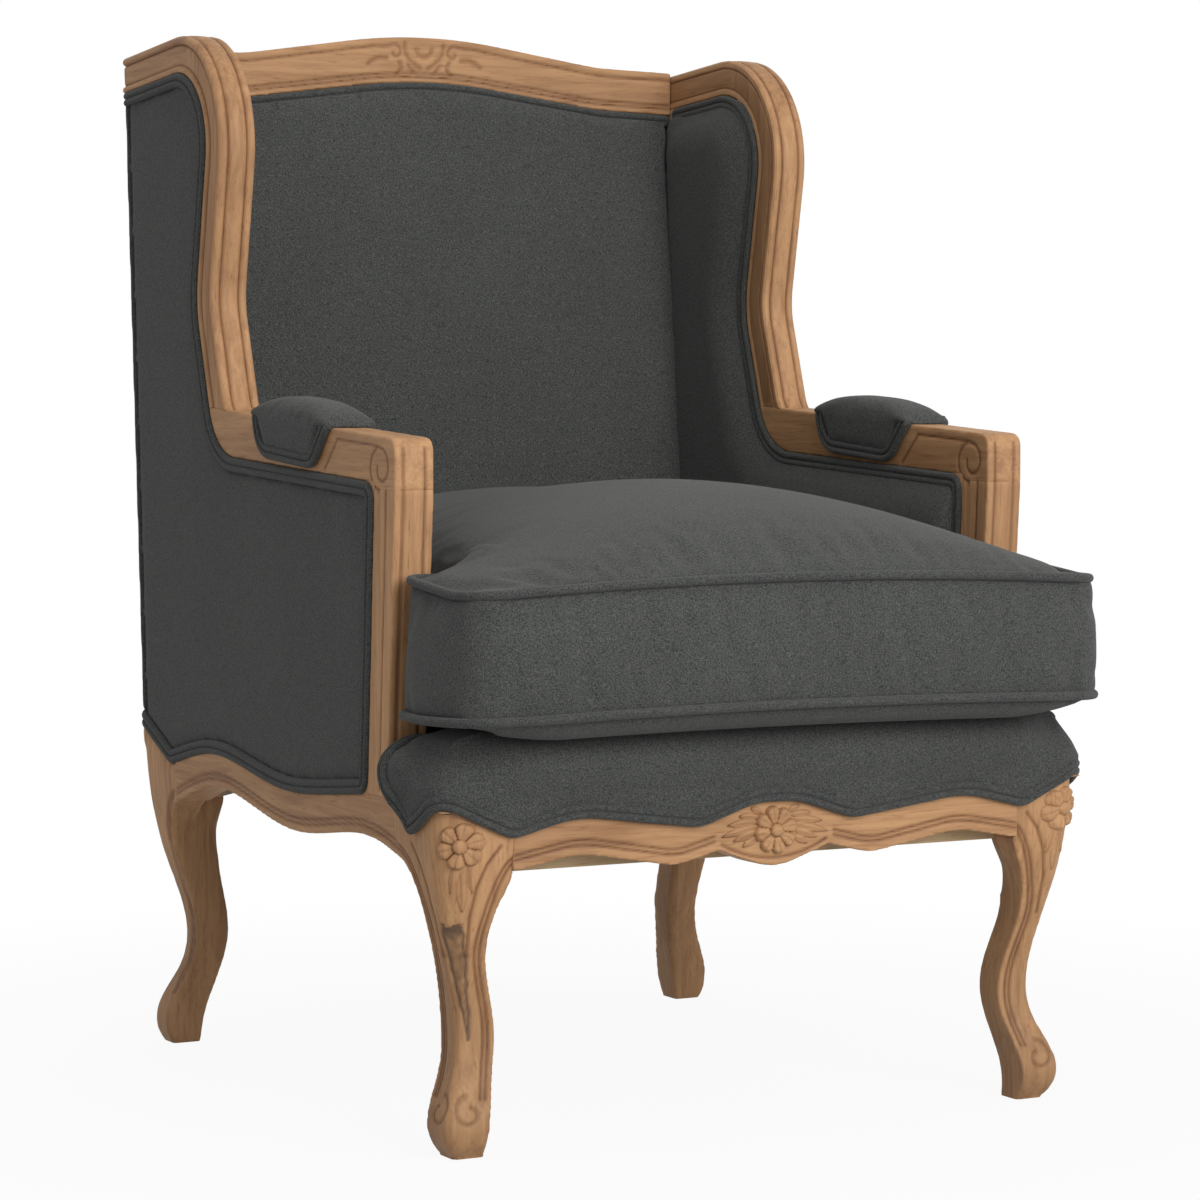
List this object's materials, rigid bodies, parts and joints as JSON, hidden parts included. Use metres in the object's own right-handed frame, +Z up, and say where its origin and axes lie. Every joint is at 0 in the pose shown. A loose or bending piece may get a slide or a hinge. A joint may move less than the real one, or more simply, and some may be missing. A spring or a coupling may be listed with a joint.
{
  "type": "carved wing armchair",
  "caption": "Carved wing armchair with cabriole legs, serpentine rails, charcoal upholstery with double welts and a loose T-shaped seat cushion that lifts off.",
  "frame": {"origin": "floor level under the middle of the chair's box", "axes": "+X to the chair's right side as seen from the front, +Y from the front to the back, +Z up"},
  "size_m": [0.6746, 0.8133, 1.0291],
  "materials": {
    "carved_wood": "matte",
    "frame_wood": "matte",
    "dowel_wood": "matte",
    "screw_steel": "satin",
    "webbing_jute": "matte",
    "dust_cloth": "matte",
    "seat_cloth": "matte",
    "cushion_cloth": "matte",
    "welt_cloth": "matte"
  },
  "bodies": {
    "chair": {"front_leg_left": "carved_wood", "rear_leg_left": "carved_wood", "side_rail_left": "carved_wood", "arm_post_left": "carved_wood", "arm_left": "carved_wood", "wing_stile_left": "carved_wood", "wing_top_left": "carved_wood", "back_post_left": "frame_wood", "seat_batten_left": "frame_wood", "inside_side_left": "seat_cloth", "outside_side_left": "seat_cloth", "arm_pad_left": "seat_cloth", "inside_welt_left": "welt_cloth", "outside_welt_left": "welt_cloth", "arm_pad_welt_left": "welt_cloth", "front_leg_right": "carved_wood", "rear_leg_right": "carved_wood", "side_rail_right": "carved_wood", "arm_post_right": "carved_wood", "arm_right": "carved_wood", "wing_stile_right": "carved_wood", "wing_top_right": "carved_wood", "back_post_right": "frame_wood", "seat_batten_right": "frame_wood", "inside_side_right": "seat_cloth", "outside_side_right": "seat_cloth", "arm_pad_right": "seat_cloth", "inside_welt_right": "welt_cloth", "outside_welt_right": "welt_cloth", "arm_pad_welt_right": "welt_cloth", "front_rail": "carved_wood", "rear_rail": "carved_wood", "crest_rail": "carved_wood", "lower_back_rail": "frame_wood", "seat_batten_front": "frame_wood", "seat_batten_rear": "frame_wood", "corner_blocks": "frame_wood", "seat_frame_dowels": "dowel_wood", "arm_dowels": "dowel_wood", "back_dowels": "dowel_wood", "corner_block_screws": "screw_steel", "seat_webbing": "webbing_jute", "dust_cover": "dust_cloth", "seat_deck": "seat_cloth", "inside_back": "seat_cloth", "outside_back": "seat_cloth", "deck_welt": "welt_cloth", "inside_back_welt": "welt_cloth", "outside_back_welts": "welt_cloth"},
    "cushion": {"seat_cushion": "cushion_cloth", "cushion_piping_top": "welt_cloth", "cushion_piping_bottom": "welt_cloth"}
  },
  "joints": [
    {"name": "cushion_lift", "type": "slide", "parent": "chair", "child": "cushion", "axis": [0, 0, 1], "range_m": [0, 0.7]}
  ]
}
